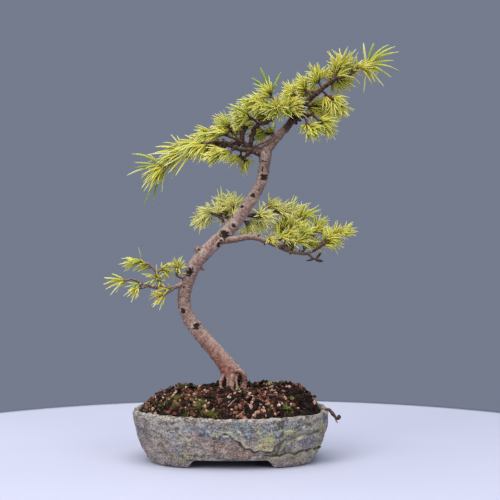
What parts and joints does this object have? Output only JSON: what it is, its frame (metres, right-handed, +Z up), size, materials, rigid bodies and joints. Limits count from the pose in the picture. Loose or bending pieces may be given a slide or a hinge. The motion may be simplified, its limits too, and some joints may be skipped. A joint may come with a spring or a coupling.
{
  "type": "pine bonsai",
  "caption": "Potted conifer bonsai: a bent trunk with layered sprays of short needles, mounded grit soil and an oval handmade clay pot on four feet.",
  "frame": {"origin": "on the surface that the pot stands on, under the middle of the plant's whole box", "axes": "+Z up, -Y towards the viewer of the tree's front, +X to the right in that view, the side the crown leans to"},
  "size_m": [0.2983, 0.1468, 0.4147],
  "materials": {
    "clay": "matt stoneware, mottled grey, olive and rust",
    "soil": "damp dark grit soil with clay granules and moss",
    "bark": "dull pinkish grey-brown bark",
    "needles": "living yellow-green needles, softly waxy",
    "screen": "black plastic mesh"
  },
  "bodies": {
    "root": {"drain_screen_left": "screen", "drain_screen_right": "screen", "pot": "clay", "soil": "soil", "spray_back_left_crest": "needles", "spray_back_left_far": "needles", "spray_back_left_high": "needles", "spray_back_left_near": "needles", "spray_back_left_rear": "needles", "spray_back_right_far": "needles", "spray_back_right_first": "needles", "spray_back_right_high": "needles", "spray_back_right_low": "needles", "spray_back_right_near": "needles", "spray_left_crest": "needles", "spray_left_far": "needles", "spray_left_front": "needles", "spray_left_inner": "needles", "spray_left_low": "needles", "spray_left_rear": "needles", "spray_left_ridge": "needles", "spray_left_top": "needles", "spray_left_under": "needles", "spray_low_left_collar": "needles", "spray_low_left_drop": "needles", "spray_low_left_over": "needles", "spray_low_left_rear": "needles", "spray_low_left_star": "needles", "spray_low_left_tip": "needles", "spray_low_left_under": "needles", "spray_mid_right_back": "needles", "spray_mid_right_centre": "needles", "spray_mid_right_crest": "needles", "spray_mid_right_far": "needles", "spray_mid_right_first": "needles", "spray_mid_right_front": "needles", "spray_mid_right_inner": "needles", "spray_mid_right_low": "needles", "spray_mid_right_rear": "needles", "spray_mid_right_tip": "needles", "spray_right_back_low": "needles", "spray_right_low": "needles", "spray_right_low_front": "needles", "spray_right_mid_front": "needles", "spray_right_mid_rear": "needles", "spray_right_near": "needles", "spray_right_over": "needles", "spray_right_rear": "needles", "spray_right_shoulder": "needles", "spray_right_tip": "needles", "spray_right_top": "needles", "spray_right_under": "needles", "spray_up_crest": "needles", "spray_up_front": "needles", "spray_up_inner": "needles", "spray_up_left": "needles", "spray_up_rear": "needles", "spray_up_tip": "needles", "trunk": "bark"}
  },
  "joints": []
}
